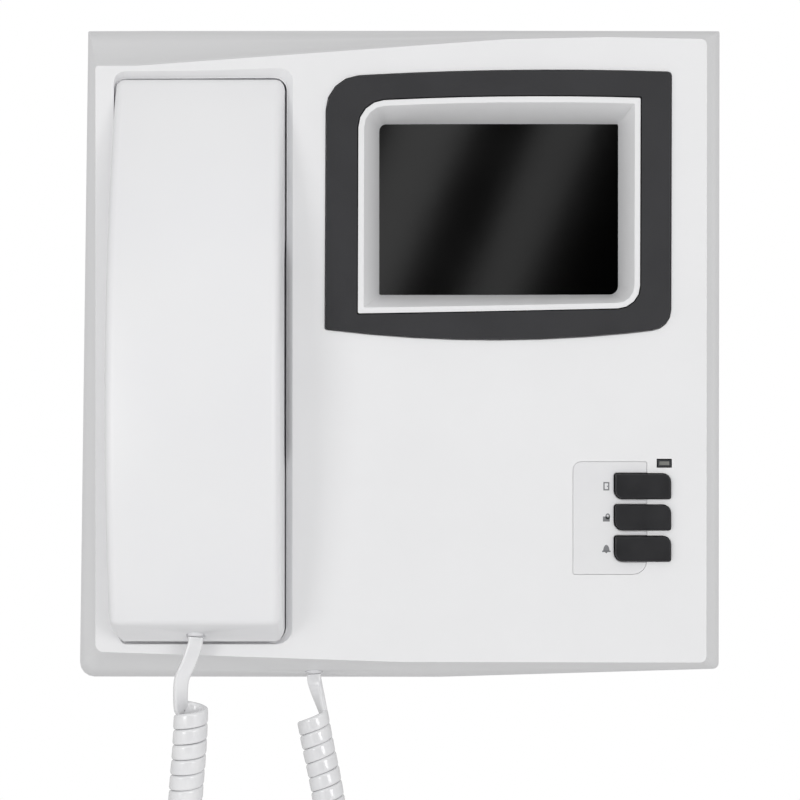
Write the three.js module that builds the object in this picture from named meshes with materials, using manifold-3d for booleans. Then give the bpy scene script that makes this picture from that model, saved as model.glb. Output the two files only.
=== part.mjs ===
// Video intercom monitor: a wall-mounted door phone built round a flat four-inch picture tube,
// with a lift-off handset on a curly cord, three push buttons and a pilot lamp.
//
// While it is built, local X is right, local Y is up and local Z is out of the wall, so every
// outline is drawn as it is seen from the front. The whole product is turned at the end, so that
// +Z is up and the back of the wall bracket lies on the plane y = 0.

import * as THREE from 'three';
import { mergeVertices } from 'three/addons/utils/BufferGeometryUtils.js';
import Module from 'manifold-3d';

const wasm = await Module();
wasm.setup();

// ---------------------------------------------------------------- driving dimensions, millimetres

const GAP = 0.3; // clearance between neighbouring pieces
const WALL = 2.4; // thickness of the moulded case
const ARC_STEPS = 4; // straight pieces in a rounded corner
const SWEEP_STEPS = 7; // corners in a shallow arc of the screen's outlines
const SHARP = 0.5; // the radius of a corner that looks sharp

const CASE_BACK = 0.6; // the case's skirt stands this far off the wall
const FACE = 45; // the front face stands this far out
const FLARE = 1.35; // how strongly the sides flare towards the wall

const SCREEN = { left: -6.4, right: 71.1, bottom: 18.8, top: 73.9, out: 33.3 };
const HANDSET = { left: -91.7, right: -37.2, top: 87.5, bottom: -93.6, middle: -65, side: 3, wall: 2.2 };
const CRADLE = { left: -92.1, right: -34.6, bottom: -94.6, top: 91, shoulder: 42, floor: 20, skin: 2.2 };
const BUTTON = { left: 69.2, right: 87, height: 7.9, pitch: 10.05, top: -39.8, out: 46.6, travel: 1.5 };
const TUBE_AXIS = { x: 32, out: 23.5 };
const BOARD = { back: 6.8, thick: 1.6 };
const HOOK = { x: -65, y: -62, stem: 4 };
const CORD = { wire: 4.5, coil: 11 };

// A case outline runs anticlockwise from the bottom left; each corner is [x, y, radius].
// The top edge climbs from the cradle side to the screen side between two bends.
const CASE_REAR = [
  [-110, -111, 5], [14, -111.1, 0], [109.5, -108.3, 2],
  [109.8, 110.7, SHARP], [68, 110.8, 0], [36, 110.85, 0], [-84, 110.8, 0], [-107.1, 110.7, SHARP],
];
const CASE_FRONT = [
  [-98, -97, 2.5], [0, -100.3, 0], [98.6, -100.5, 2],
  [98.8, 100.2, 2], [66, 100.8, 0], [34, 100.1, 0], [-84, 91.6, 0], [-98, 91.5, 1],
];

/** The cradle's outline at one depth: its upper edge rises a little to the right. */
const cradleOutline = (left, right, bottom, top, rise) => [
  [left + 2.9, bottom, 1.5], [right, bottom, 5], [right + 0.2, top, 4],
  [-70, top - 0.9 * rise, 0], [left, top - rise, 3.5], [left, bottom + 4.7, 1.5],
];
const CRADLE_MOUTH = cradleOutline(CRADLE.left, CRADLE.right, CRADLE.bottom, CRADLE.top, 1.2);
const CRADLE_LEDGE = cradleOutline(CRADLE.left, CRADLE.right - 2, CRADLE.bottom, CRADLE.top - 2.6, 0.3);
const CRADLE_WELL =
  cradleOutline(CRADLE.left + 0.1, CRADLE.right - 2.2, CRADLE.bottom + 0.2, CRADLE.top - 2.8, 0.3);
const LABEL_EDGE = [[55.7, -72.1, SHARP], [79.4, -72.1, 4.5], [79.4, -35.9, SHARP], [55.7, -35.9, 2.6]];
const LABEL_GAP = 0.12; // the printed plate is pressed into its recess
const CASE_SCREWS = [[-64, 74], [-64, -84], [92, 84], [92, -88]];
const HANDSET_SCREWS = [22, -26]; // heights on the handset's middle line

// ---------------------------------------------------------------- materials

const finish = (color, roughness, metalness = 0) =>
  new THREE.MeshStandardMaterial({ color, roughness, metalness });
const WHITE = finish('#ededee', 0.38);
const CHARCOAL = finish('#333335', 0.55);
const BLACK = finish('#1d1d20', 0.4);
const GLOSS = finish('#0b0b0c', 0.06);
const GLASS = finish('#5a6264', 0.1);
const STEEL = finish('#b4b7ba', 0.4, 0.9);
const COPPER = finish('#a5612f', 0.4, 0.8);
const PHENOLIC = finish('#8a6a3a', 0.6);
const DARK_PART = finish('#26282c', 0.6);
const LENS = finish('#c9cccf', 0.2);
const VINYL = finish('#e9e9ea', 0.3);

// ---------------------------------------------------------------- outlines

const point = (x, y) => new THREE.Vector2(x, y);
const rectangle = (left, bottom, right, top) =>
  [[left, bottom, 0], [right, bottom, 0], [right, top, 0], [left, top, 0]];

/** Unit directions from a corner to the corners before and after it. */
function directions(corners, index) {
  const [here, before, after] = [corners[index], corners.at(index - 1), corners[(index + 1) % corners.length]];
  const toward = (other) => point(other[0] - here[0], other[1] - here[1]).normalize();
  return [toward(before), toward(after)];
}

/** The points of an outline, with each corner rounded to its radius. */
function outline(corners) {
  return corners.flatMap(([x, y, radius], index) => {
    if (radius === 0) return [point(x, y)];
    const [before, after] = directions(corners, index);
    const half = Math.acos(before.dot(after)) / 2;
    const bisector = before.clone().add(after).normalize();
    const centre = point(x, y).addScaledVector(bisector, radius / Math.sin(half));
    const start = point(x, y).addScaledVector(before, radius / Math.tan(half));
    const sweep = Math.sign(before.cross(after)) * -(Math.PI - 2 * half);
    return Array.from({ length: ARC_STEPS + 1 }, (_, step) =>
      start.clone().rotateAround(centre, (sweep * step) / ARC_STEPS));
  });
}

/** Corners moved inwards by a distance, or outwards when it is negative. */
function inset(corners, distance) {
  return corners.map(([x, y, radius], index) => {
    const [before, after] = directions(corners, index);
    const first = point(before.y, -before.x);
    const second = point(-after.y, after.x);
    const shift = first.clone().add(second).multiplyScalar(distance / (1 + first.dot(second)));
    return [x + shift.x, y + shift.y, radius === 0 ? 0 : Math.max(radius - distance, SHARP)];
  });
}

/** Points on a shallow circular arc from start to end, bulging to the left of that direction. */
function bow(start, end, bulge, count) {
  const [from, to] = [point(...start), point(...end)];
  const chord = to.clone().sub(from);
  const side = point(-chord.y, chord.x).normalize();
  return Array.from({ length: count }, (_, index) => {
    const along = (index + 1) / (count + 1);
    const spot = from.clone().lerp(to, along).addScaledVector(side, bulge * 4 * along * (1 - along));
    return [spot.x, spot.y, 0];
  });
}

/** An outline with four corners whose bottom and top edges are shallow arcs that bulge outwards. */
function swept(corners, bottomBulge, topBulge) {
  const [bottomLeft, bottomRight, topRight, topLeft] = corners;
  return [
    bottomLeft, ...bow(bottomLeft, bottomRight, -bottomBulge, SWEEP_STEPS), bottomRight,
    topRight, ...bow(topRight, topLeft, -topBulge, SWEEP_STEPS), topLeft,
  ];
}

const BEZEL_OUTER = swept([
  [-24, 6.8, SHARP], [87, 7.2, 6.5],
  [87.2, 89.4, 1], [-23.6, 87.6, 11],
], 3.6, 1.4);
const BEZEL_INNER = swept([
  [-13.8, 11.6, SHARP], [77.4, 13.4, 7.5],
  [77.6, 81.4, SHARP], [-13.6, 80.2, 9],
], 0.1, 1);
const SCREEN_EDGE = swept([
  [SCREEN.left, SCREEN.bottom, SHARP], [SCREEN.right, SCREEN.bottom, 2.6],
  [SCREEN.right, SCREEN.top, SHARP], [SCREEN.left, SCREEN.top, 1.8],
], 0.05, 0.05);

// ---------------------------------------------------------------- solids

/** A closed three.js geometry as a solid that can be joined and cut. */
function solid(geometry) {
  geometry.deleteAttribute('normal');
  geometry.deleteAttribute('uv');
  const merged = mergeVertices(geometry);
  const vertProperties = Float32Array.from(merged.attributes.position.array);
  const triVerts = Uint32Array.from(merged.index.array);
  return new wasm.Manifold(new wasm.Mesh({ numProp: 3, vertProperties, triVerts }));
}

/** A flat plate with the given outline, from one distance off the wall to another. */
function slab(corners, from, to) {
  const shape = new THREE.Shape(outline(corners));
  const plate = new THREE.ExtrudeGeometry(shape, { depth: to - from, bevelEnabled: false });
  return solid(plate.translate(0, 0, from));
}

/** A solid whose outline changes from rear to front; ease bends its sides. */
function loft(rear, front, from, to, steps = 1, ease = (t) => t) {
  const [first, last] = [outline(rear), outline(front)];
  const geometry = new THREE.ExtrudeGeometry(new THREE.Shape(first), { depth: 1, steps, bevelEnabled: false });
  const key = (x, y) => `${Math.fround(x)} ${Math.fround(y)}`;
  const index = new Map(first.map((spot, place) => [key(spot.x, spot.y), place]));
  const position = geometry.attributes.position;
  for (let i = 0; i < position.count; i += 1) {
    const place = index.get(key(position.getX(i), position.getY(i)));
    const t = position.getZ(i);
    const spot = first[place].clone().lerp(last[place], ease(t));
    position.setXYZ(i, spot.x, spot.y, from + t * (to - from));
  }
  return solid(geometry);
}

const box = (left, bottom, right, top, from, to) => slab(rectangle(left, bottom, right, top), from, to);

/** A round peg standing out from the wall. */
function peg(x, y, radius, from, to, sides = 16) {
  const geometry = new THREE.CylinderGeometry(radius, radius, to - from, sides);
  return solid(geometry.rotateX(Math.PI / 2).translate(x, y, (from + to) / 2));
}

/** A round rod that runs upwards. */
function rod(x, out, radius, bottom, top, topRadius = radius, sides = 20) {
  const geometry = new THREE.CylinderGeometry(topRadius, radius, top - bottom, sides);
  return solid(geometry.translate(x, (bottom + top) / 2, out));
}

/** A turned piece about an axis that points out of the wall; profile points are [radius, out]. */
function turned(profile, x, y, sides = 24) {
  const geometry = new THREE.LatheGeometry(profile.map(([radius, out]) => point(radius, out)), sides);
  return solid(geometry.rotateX(Math.PI / 2).translate(x, y, 0));
}

/** A side profile, drawn as [out, up], carried across the handset from left to right. */
function across(corners, left, right, bevel = 0) {
  const options = { depth: right - left - 2 * bevel, bevelEnabled: bevel > 0 };
  Object.assign(options, { bevelSize: bevel, bevelOffset: -bevel, bevelThickness: bevel, bevelSegments: 3 });
  const geometry = new THREE.ExtrudeGeometry(new THREE.Shape(outline(corners)), options);
  return solid(geometry.rotateY(-Math.PI / 2).translate(right - bevel, 0, 0));
}

/** A tube of constant thickness along a smooth route. */
function tube(route, diameter, steps, sides) {
  const turn = (index) => (2 * Math.PI * index) / sides;
  const ring = Array.from({ length: sides }, (_, index) =>
    point((diameter / 2) * Math.cos(turn(index)), (diameter / 2) * Math.sin(turn(index))));
  const extrudePath = new THREE.CatmullRomCurve3(route.map((spot) => new THREE.Vector3(...spot)));
  return solid(new THREE.ExtrudeGeometry(new THREE.Shape(ring), { steps, extrudePath, bevelEnabled: false }));
}

const union = (solids) => wasm.Manifold.union(solids);

// ---------------------------------------------------------------- the product

const product = new THREE.Group();
product.rotation.x = Math.PI / 2;

/** Adds one sub-part to the product as a named mesh. */
function add(name, body, material) {
  const { vertProperties, triVerts } = body.getMesh();
  const geometry = new THREE.BufferGeometry();
  geometry.setAttribute('position', new THREE.BufferAttribute(vertProperties, 3));
  geometry.setIndex(new THREE.BufferAttribute(triVerts, 1));
  geometry.computeVertexNormals();
  const mesh = new THREE.Mesh(geometry, material);
  mesh.name = name;
  product.add(mesh);
}

/** A loft that follows the case's own flared sides, a given distance inside them. */
function caseBody(depth, from = CASE_BACK) {
  const ease = (t) => 1 - (1 - t) ** FLARE;
  return loft(inset(CASE_REAR, depth), inset(CASE_FRONT, depth), from, FACE - depth, 4, ease);
}

/** The outline of one button, counted from the top; two of its corners are rounded like a leaf. */
function buttonEdge(index) {
  const top = BUTTON.top - index * BUTTON.pitch;
  const bottom = top - BUTTON.height;
  return [
    [BUTTON.left, bottom, 2.5], [BUTTON.right, bottom, SHARP],
    [BUTTON.right, top, 2.5], [BUTTON.left, top, SHARP],
  ];
}

const ROWS = [0, 1, 2];
const LAMP = { left: 82.9, right: 87.2, bottom: -37.5, top: -35.2 };

// ---- case

function frontHousing() {
  const seat = slab(inset(BEZEL_OUTER, -3), 38, FACE);
  const tub = slab(inset(CRADLE_MOUTH, -CRADLE.skin), CRADLE.floor - CRADLE.skin, FACE);
  const bosses = CASE_SCREWS.map(([x, y]) => peg(x, y, 3.6, 8, x < 0 ? CRADLE.floor - 1 : FACE - 1));
  const keyPosts = [-34.5, -76].map((y) => peg(57, y, 2.6, 33, FACE - 1));
  const hollow = caseBody(WALL, 0.2).subtract(union([seat, tub, ...bosses, ...keyPosts]));
  const mouth = loft(CRADLE_LEDGE, CRADLE_MOUTH, CRADLE.shoulder, FACE + 0.1);
  const cradle = mouth.add(slab(CRADLE_WELL, CRADLE.floor, FACE));
  const rests = [62, 72, -50, -76].map((y) => box(-78, y, -52, y + 3, CRADLE.floor - 1, 22.2));
  const holes = [
    slab(inset(BEZEL_OUTER, -GAP), 42, 50),
    slab(inset(BEZEL_INNER, -1), 30, 50),
    slab(inset(LABEL_EDGE, -LABEL_GAP), FACE - 0.8, 50),
    ...ROWS.map((index) => slab(inset(buttonEdge(index), -GAP), 40, 50)),
    box(LAMP.left - GAP, LAMP.bottom - GAP, LAMP.right + GAP, LAMP.top + GAP, 40, 50),
    ...CASE_SCREWS.map(([x, y]) => peg(x, y, 1.5, 4, 16, 10)),
    rod(BASE_EXIT.x, BASE_EXIT.out, BUSH_RADIUS + GAP, -114, -98),
    fingerScoop(),
  ];
  return caseBody(0).subtract(hollow).subtract(cradle).add(union(rests)).subtract(union(holes))
    .subtract(peg(HOOK.x, HOOK.y, HOOK.stem + GAP, 10, 30));
}

/** A shallow dished relief along the cradle's right edge, deepest half way up. */
function fingerScoop() {
  const [halfLength, depth, width] = [84, 1.4, 4.2];
  const lens = [[-halfLength, 0, 0], ...bow([-halfLength, 0], [halfLength, 0], -depth, 15), [halfLength, 0, 0]];
  const shape = new THREE.Shape(outline(lens));
  const geometry = new THREE.ExtrudeGeometry(shape, { depth: 12, bevelEnabled: false });
  geometry.rotateY(-Math.PI / 2).rotateX(-Math.PI / 2).translate(6, 0, 0);
  geometry.rotateY(-Math.atan(depth / width));
  return solid(geometry.translate(CRADLE.right, -10, FACE));
}

const VENT_ROWS = [0, 1, 2, 3, 4, 5];
const CABLE_ENTRY = [-28, -50, 28, -14];
const BRACKET_HOOKS = [-45, 45];

function rearHousing() {
  const [thick, rim] = [2, 9];
  const plate = (depth, from, to) => caseBody(depth, 0.2).intersect(box(-120, -120, 120, 120, from, to));
  const shell = plate(WALL + GAP, 1.6, rim).subtract(plate(WALL + GAP + thick, 1.6 + thick, 20));
  const posts = CASE_SCREWS.map(([x, y]) => peg(x, y, 4.8, 2, 7.6));
  const boardPosts = BOARD_POSTS.map(([x, y]) => peg(x, y, 3, 2, BOARD.back - GAP));
  const cuts = [
    ...CASE_SCREWS.flatMap(([x, y]) => [peg(x, y, 3.5, 1, 5), peg(x, y, 1.6, 1, 9, 10)]),
    box(...CABLE_ENTRY, 1, 5),
    ...BRACKET_HOOKS.map((x) => box(x - 6, 36, x + 6, 44.5, 1, 5)),
    ...VENT_ROWS.flatMap((row) => [10, 50].map((x) => box(x, 66 + 6 * row, x + 30, 69 + 6 * row, 1, 5))),
    ...VENT_ROWS.slice(1, 6).map((row) => box(-19, -96 + 7 * row, 9, -93.5 + 7 * row, 1, 5)),
    rod(BASE_EXIT.x, BASE_EXIT.out, 4.4, -114, -98),
  ];
  return union([shell, ...posts, ...boardPosts]).subtract(union(cuts));
}

function wallBracket() {
  const sheet = 1.2;
  const hooks = BRACKET_HOOKS.flatMap((x) => [
    box(x - 5, 37, x + 5, 37 + sheet, 0, 6),
    box(x - 5, 37, x + 5, 42, 6 - sheet, 6),
  ]);
  const fixings = [[-50, 20], [50, 20], [-50, -40], [50, -40]];
  const slots = fixings.map(([x, y]) => box(x - 2, y - 4, x + 2, y + 4, -1, 3));
  const plate = slab([[-62, -58, 4], [62, -58, 4], [62, 50, 4], [-62, 50, 4]], 0, sheet);
  const relief = BRACKET_HOOKS.map((x) => box(x - 5, 37 + sheet, x + 5, 43, -1, 3));
  return plate.subtract(union([box(...CABLE_ENTRY, -1, 3), ...slots, ...relief])).add(union(hooks));
}

// ---- screen

function bezelFrame() {
  return slab(inset(BEZEL_OUTER, 0.1), 42.3, 46).subtract(slab(inset(BEZEL_INNER, -0.1), 40, 48));
}

function screenMask() {
  const lip = 1.7;
  const funnel = loft(SCREEN_EDGE, inset(BEZEL_INNER, lip), SCREEN.out - 1, 46.6);
  const shell = loft(inset(SCREEN_EDGE, -2), inset(BEZEL_INNER, 0.25), SCREEN.out, 45.6);
  return shell.subtract(funnel);
}

const screenWindow = () => slab(inset(SCREEN_EDGE, -4), SCREEN.out - GAP - 1.8, SCREEN.out - GAP);

const TUBE_FACE = [[-11, 14, 4], [75.5, 14, 4], [75.5, 79, 4], [-11, 79, 4]];

function pictureTube() {
  const bulb = loft(inset(TUBE_FACE, 8), TUBE_FACE, 15.5, 26);
  const face = slab(TUBE_FACE, 25.9, SCREEN.out - GAP - 2.4);
  const shoulder = rod(TUBE_AXIS.x, TUBE_AXIS.out, 7.5, 0, 30, 5.5);
  return union([bulb, face, shoulder, rod(TUBE_AXIS.x, TUBE_AXIS.out, 7.5, -49, 1)]);
}

function deflectionYoke() {
  const centre = [TUBE_AXIS.x, TUBE_AXIS.out];
  const flanges = [rod(...centre, 14.5, -23, -20), rod(...centre, 15, -6, -2)];
  const coils = union([rod(...centre, 13, -20, -6), ...flanges]);
  return coils.subtract(rod(...centre, 7.5 + GAP, -30, 2));
}

function tubeFrame() {
  const ring = slab([[-14.5, 11.5, 3], [79, 11.5, 3], [79, 82, 3], [-14.5, 82, 3]], 22, 30.8);
  return ring.subtract(slab(inset(TUBE_FACE, -GAP), 20, 32)).subtract(box(22, 8, 42, 14.5, 20, 32));
}

function tubeSocketBoard() {
  return box(TUBE_AXIS.x - 12, -52, TUBE_AXIS.x + 12, -50.4, 10, 36)
    .add(rod(TUBE_AXIS.x, TUBE_AXIS.out, 6, -50.5, -49.3));
}

// ---- electronics

const BOARD_POSTS = [[-24, 80], [82, 76], [-24, -8], [82, -42]];
const BOARD_FRONT = BOARD.back + BOARD.thick;

function mainBoard() {
  return box(-28, -46, 86, 84, BOARD.back, BOARD_FRONT);
}

function lineTransformer() {
  const base = BOARD_FRONT + GAP;
  return union([box(58, -26, 84, -2, base, base + 16), peg(71, -14, 9, base + 10, base + 26)]);
}

function heatSink() {
  const [left, fins, pitch] = [-12, 6, 4.2];
  const base = box(left, -42, left + pitch * (fins - 1) + 1.4, -30, BOARD_FRONT + GAP, BOARD_FRONT + 3);
  const blades = Array.from({ length: fins }, (_, index) =>
    box(left + pitch * index, -42, left + pitch * index + 1.4, -30, BOARD_FRONT + 1, BOARD_FRONT + 19));
  return union([base, ...blades]);
}

const CAPACITORS = [[-18, 2, 5, 20], [-4, 2, 6.3, 22], [-18, -14, 4, 12]];

/** A tall round can with a shallow dish in its end. */
function capacitor([x, y, radius, height]) {
  const can = peg(x, y, radius, BOARD_FRONT + GAP, BOARD_FRONT + height);
  return can.subtract(peg(x, y, radius * 0.7, BOARD_FRONT + height - 0.5, 60));
}

function terminalBlock() {
  const [ways, pitch] = [6, 5];
  const back = BOARD.back - GAP;
  const body = box(-16, -29, -16 + ways * pitch + 1, -18, 2.2, back);
  const wells = Array.from({ length: ways }, (_, index) => peg(-13 + pitch * index, -22, 1.7, 1, 4, 10));
  return body.subtract(union(wells));
}

function callSpeaker() {
  const profile = [[0, 6], [5, 6], [17, 4.2], [20, 4.2], [20, 6.4], [9, 12], [9, 17], [0, 17]];
  return turned(profile, -5, -72);
}

// ---- keys

const KEY_BOARD = { back: 30.8, front: 32.4 };
const keyBoard = () => box(51, -79, 91, -32, KEY_BOARD.back, KEY_BOARD.front);
const KEY_X = (BUTTON.left + BUTTON.right) / 2;
const keyY = (index) => BUTTON.top - index * BUTTON.pitch - BUTTON.height / 2;

function pushButton(index) {
  const cap = slab(buttonEdge(index), 42.3, BUTTON.out);
  const flange = slab(inset(buttonEdge(index), -0.9), 40.4, 42.3);
  return union([cap, flange, peg(KEY_X, keyY(index), 1.6, 38, 41)]);
}

function keySwitch(index) {
  const top = 38 - BUTTON.travel - GAP;
  const [x, y] = [KEY_X, keyY(index)];
  return box(x - 3, y - 3, x + 3, y + 3, KEY_BOARD.front + GAP, top - 0.8).add(peg(x, y, 1.6, top - 1, top));
}

function labelPlate() {
  const cuts = ROWS.map((index) => slab(inset(buttonEdge(index), -0.5), 40, 50));
  return slab(LABEL_EDGE, FACE - 0.5, FACE - 0.05).subtract(union(cuts));
}

const LAMP_X = (LAMP.left + LAMP.right) / 2;
const LAMP_Y = (LAMP.bottom + LAMP.top) / 2;
const lampLens = () => box(LAMP.left, LAMP.bottom, LAMP.right, LAMP.top, 41, FACE + 0.2);

function pilotLamp() {
  const flange = peg(LAMP_X, LAMP_Y, 1.9, KEY_BOARD.front + GAP, 34, 12);
  return peg(LAMP_X, LAMP_Y, 1.5, KEY_BOARD.front + GAP, 40, 12).add(flange);
}

// ---- hook switch

function hookPlunger() {
  return union([
    peg(HOOK.x, HOOK.y, HOOK.stem, 10, 22.2),
    peg(HOOK.x, HOOK.y, 6, 9.5, 11.5),
    peg(HOOK.x, HOOK.y, 2, 5.5, 10),
  ]);
}

/** An open compression spring round the plunger's tail. */
function hookSpring() {
  const [radius, wire, turns, bottom, top] = [3.4, 0.8, 4, 4.4, 8.7];
  class Helix extends THREE.Curve {
    getPoint(t, target = new THREE.Vector3()) {
      const angle = 2 * Math.PI * turns * t;
      return target.set(radius * Math.cos(angle), radius * Math.sin(angle), bottom + (top - bottom) * t);
    }
  }
  const section = new THREE.Shape().absarc(0, 0, wire / 2, 0, 2 * Math.PI);
  const options = { steps: 12 * turns, curveSegments: 5, extrudePath: new Helix(), bevelEnabled: false };
  return solid(new THREE.ExtrudeGeometry(section, options).translate(HOOK.x, HOOK.y, 0));
}

function hookSwitch() {
  return box(-54, -69, -46, -55, 4, 12).add(box(-58, -63.5, -53, -60.5, 8.4, 8.9));
}

function screw(x, y, head, tip, headRadius, shankRadius) {
  const [top, bottom] = [Math.min(head, tip), Math.max(head, tip)];
  const slot = box(x - 2 * headRadius, y - 0.4, x + 2 * headRadius, y + 0.4, top - 1, top + 0.8);
  const shank = peg(x, y, shankRadius, top + 1, bottom, 10);
  return peg(x, y, headRadius, top, top + 1.8, 14).add(shank).subtract(slot);
}

// ---- handset

const HANDSET_BACK = [[22.5, 46, 6], [42, 32, 10], [42, -34, 10], [22.5, -50, 6]]; // ear pad, grip, mouth pad
const FRONT_BOW = bow([61.5, -86.3], [45, HANDSET.top], -16.7, 15);
const PARTING = { top: [25, 92], bottom: [45, -96], bulge: 22 };

/** The handset's side profile as [out, up], anticlockwise from the bottom of the mouth pad. */
function handsetProfile() {
  return [
    [22.5, HANDSET.bottom + 1, 3.6], [47, HANDSET.bottom, 3.6], [61.5, -86.3, 3.6],
    ...FRONT_BOW,
    [45, HANDSET.top, 3.6], [22.5, HANDSET.top - 0.8, 3.6],
    ...HANDSET_BACK,
  ];
}

/** Everything in front of the handset's parting line, or behind it. */
function partingSide(isFront) {
  const shift = isFront ? GAP / 2 : -GAP / 2;
  const line = bow(PARTING.bottom, PARTING.top, -PARTING.bulge, 19).map(([out, up]) => [out + shift, up, 0]);
  const ends = [PARTING.bottom, PARTING.top].map(([out, up]) => [out + shift, up, 0]);
  const far = isFront ? [[90, 100, 0], [90, -100, 0]] : [[5, 100, 0], [5, -100, 0]];
  const corners = [ends[0], ...line, ends[1], ...far];
  return across(isFront ? corners.reverse() : corners, -100, -30);
}

/** The handset as seen from the front; its lower left corner is cut off like the cradle's. */
const HANDSET_EDGE = [
  [HANDSET.left + 3.1, HANDSET.bottom - 0.1, 2], [HANDSET.right, HANDSET.bottom - 0.1, 4],
  [HANDSET.right, HANDSET.top + 0.1, 3.5], [HANDSET.left - 0.1, HANDSET.top + 0.1, 2],
  [HANDSET.left - 0.1, HANDSET.bottom + 4.9, 2.5],
];

function handsetBody(depth = 0) {
  const bevel = depth > 0 ? 0 : HANDSET.side;
  return across(inset(handsetProfile(), depth), HANDSET.left + depth, HANDSET.right - depth, bevel)
    .intersect(slab(inset(HANDSET_EDGE, depth), 10, 90));
}

const handsetShell = () => handsetBody().subtract(handsetBody(HANDSET.wall));

const BUSH_RADIUS = 2.8;
const HANDSET_EXIT = { x: -65, out: 52, top: -83, bottom: -90.9 };
const BASE_EXIT = { x: -29.2, out: 8.2, top: -101, bottom: -108.6 };

function handsetFrontShell() {
  const bosses = HANDSET_SCREWS.map((y) => peg(HANDSET.middle, y, 3.2, 55, 80).intersect(handsetBody()));
  const cuts = [
    ...HANDSET_SCREWS.map((y) => peg(HANDSET.middle, y, 1.4, 54, 63, 10)),
    rod(HANDSET_EXIT.x, HANDSET_EXIT.out, BUSH_RADIUS + GAP, -98, -80),
  ];
  return handsetShell().intersect(partingSide(true)).add(union(bosses)).subtract(union(cuts));
}

function handsetBackShell() {
  const posts = HANDSET_SCREWS.map((y) => peg(HANDSET.middle, y, 4.8, 42.5, 54.6));
  const grille = (y, reach) => [0, 1, 2, 3, 4, 5, 6].map((hole) => {
    const angle = (hole * Math.PI) / 3;
    const ring = hole === 6 ? 0 : reach;
    return peg(HANDSET.middle + ring * Math.cos(angle), y + ring * Math.sin(angle), 1.1, 20, 26, 8);
  });
  const cuts = [
    ...HANDSET_SCREWS.map((y) => peg(HANDSET.middle, y, 3.4, 40, 45.5)),
    ...HANDSET_SCREWS.map((y) => peg(HANDSET.middle, y, 1.5, 40, 60, 10)),
    ...grille(67, 6),
    ...grille(-71, 4),
  ];
  return handsetShell().intersect(partingSide(false)).add(union(posts)).subtract(union(cuts));
}

const earpieceCapsule = () => turned([[0, 25.2], [16, 25.2], [16, 29], [13, 32], [0, 32]], HANDSET.middle, 67);
const microphoneCapsule = () => turned([[0, 25.2], [5.5, 25.2], [5.5, 30], [0, 30]], HANDSET.middle, -71, 16);
const ballastWeight = () => slab([[-82, -17, 2], [-48, -17, 2], [-48, 13, 2], [-82, 13, 2]], 46, 54);

/** A soft bush that the cord leaves through, with a collar on the inside. */
function cordBush(exit) {
  return rod(exit.x, exit.out, BUSH_RADIUS, exit.bottom, exit.top);
}

// ---- cord: two plain leads and the outer shape of the curly stretch that hangs between them

const HANDSET_LEAD = [
  [-65, -91.4, 52], [-65.3, -94, 52], [-67.2, -99.5, 52], [-69.6, -105.5, 52], [-70, -110.4, 52],
];
const BASE_LEAD = [[-29.2, -109.1, 8.2], [-29, -111.6, 8.2], [-27.9, -115.9, 8.2], [-27.2, -119.8, 8.2]];
const COIL_ROUTE = [
  [-66.4, -111.5, 52], [-67, -126, 52], [-68.4, -143, 51], [-69.8, -165, 49], [-70, -189, 46],
  [-66, -212, 42], [-58, -227, 36], [-46.5, -233, 30], [-34, -229, 24], [-25, -214, 18],
  [-21, -193, 13.5], [-21.6, -170, 10.8], [-24.8, -148, 9.4], [-27.9, -133, 8.6], [-30.2, -121.2, 8.2],
];

// ---------------------------------------------------------------- assembly

add('wall_bracket', wallBracket(), STEEL);
add('rear_housing', rearHousing(), WHITE);
add('front_housing', frontHousing(), WHITE);
CASE_SCREWS.forEach(([x, y], index) => add(`case_screw_${index + 1}`, screw(x, y, 2.9, 15, 3.1, 1.2), STEEL));

add('bezel_frame', bezelFrame(), CHARCOAL);
add('screen_mask', screenMask(), WHITE);
add('screen_window', screenWindow(), GLOSS);
add('picture_tube', pictureTube(), GLASS);
add('deflection_yoke', deflectionYoke(), COPPER);
add('tube_frame', tubeFrame(), DARK_PART);
add('tube_socket_board', tubeSocketBoard(), PHENOLIC);

add('main_board', mainBoard(), PHENOLIC);
add('line_transformer', lineTransformer(), DARK_PART);
add('heat_sink', heatSink(), STEEL);
CAPACITORS.forEach((size, index) => add(`capacitor_${index + 1}`, capacitor(size), DARK_PART));
add('terminal_block', terminalBlock(), DARK_PART);
add('call_speaker', callSpeaker(), DARK_PART);

['view_button', 'unlock_button', 'alarm_button'].forEach((name, index) => add(name, pushButton(index), BLACK));
ROWS.forEach((index) => add(`key_switch_${index + 1}`, keySwitch(index), DARK_PART));
add('key_board', keyBoard(), PHENOLIC);
add('label_plate', labelPlate(), WHITE);
add('pilot_lamp', pilotLamp(), LENS);
add('lamp_lens', lampLens(), LENS);

add('hook_plunger', hookPlunger(), BLACK);
add('hook_spring', hookSpring(), STEEL);
add('hook_switch', hookSwitch(), DARK_PART);

add('handset_front_shell', handsetFrontShell(), WHITE);
add('handset_back_shell', handsetBackShell(), WHITE);
HANDSET_SCREWS.forEach((y, index) =>
  add(`handset_screw_${index + 1}`, screw(HANDSET.middle, y, 43.2, 60, 3, 1.1), STEEL));
add('earpiece_capsule', earpieceCapsule(), DARK_PART);
add('microphone_capsule', microphoneCapsule(), DARK_PART);
add('ballast_weight', ballastWeight(), STEEL);

add('handset_cord_bush', cordBush(HANDSET_EXIT), VINYL);
add('base_cord_bush', cordBush(BASE_EXIT), VINYL);
add('cord_handset_lead', tube(HANDSET_LEAD, CORD.wire, 4, 8), VINYL);
add('cord_coil', tube(COIL_ROUTE, CORD.coil, 18, 10), VINYL);
add('cord_base_lead', tube(BASE_LEAD, CORD.wire, 3, 8), VINYL);

export default product;
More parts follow.
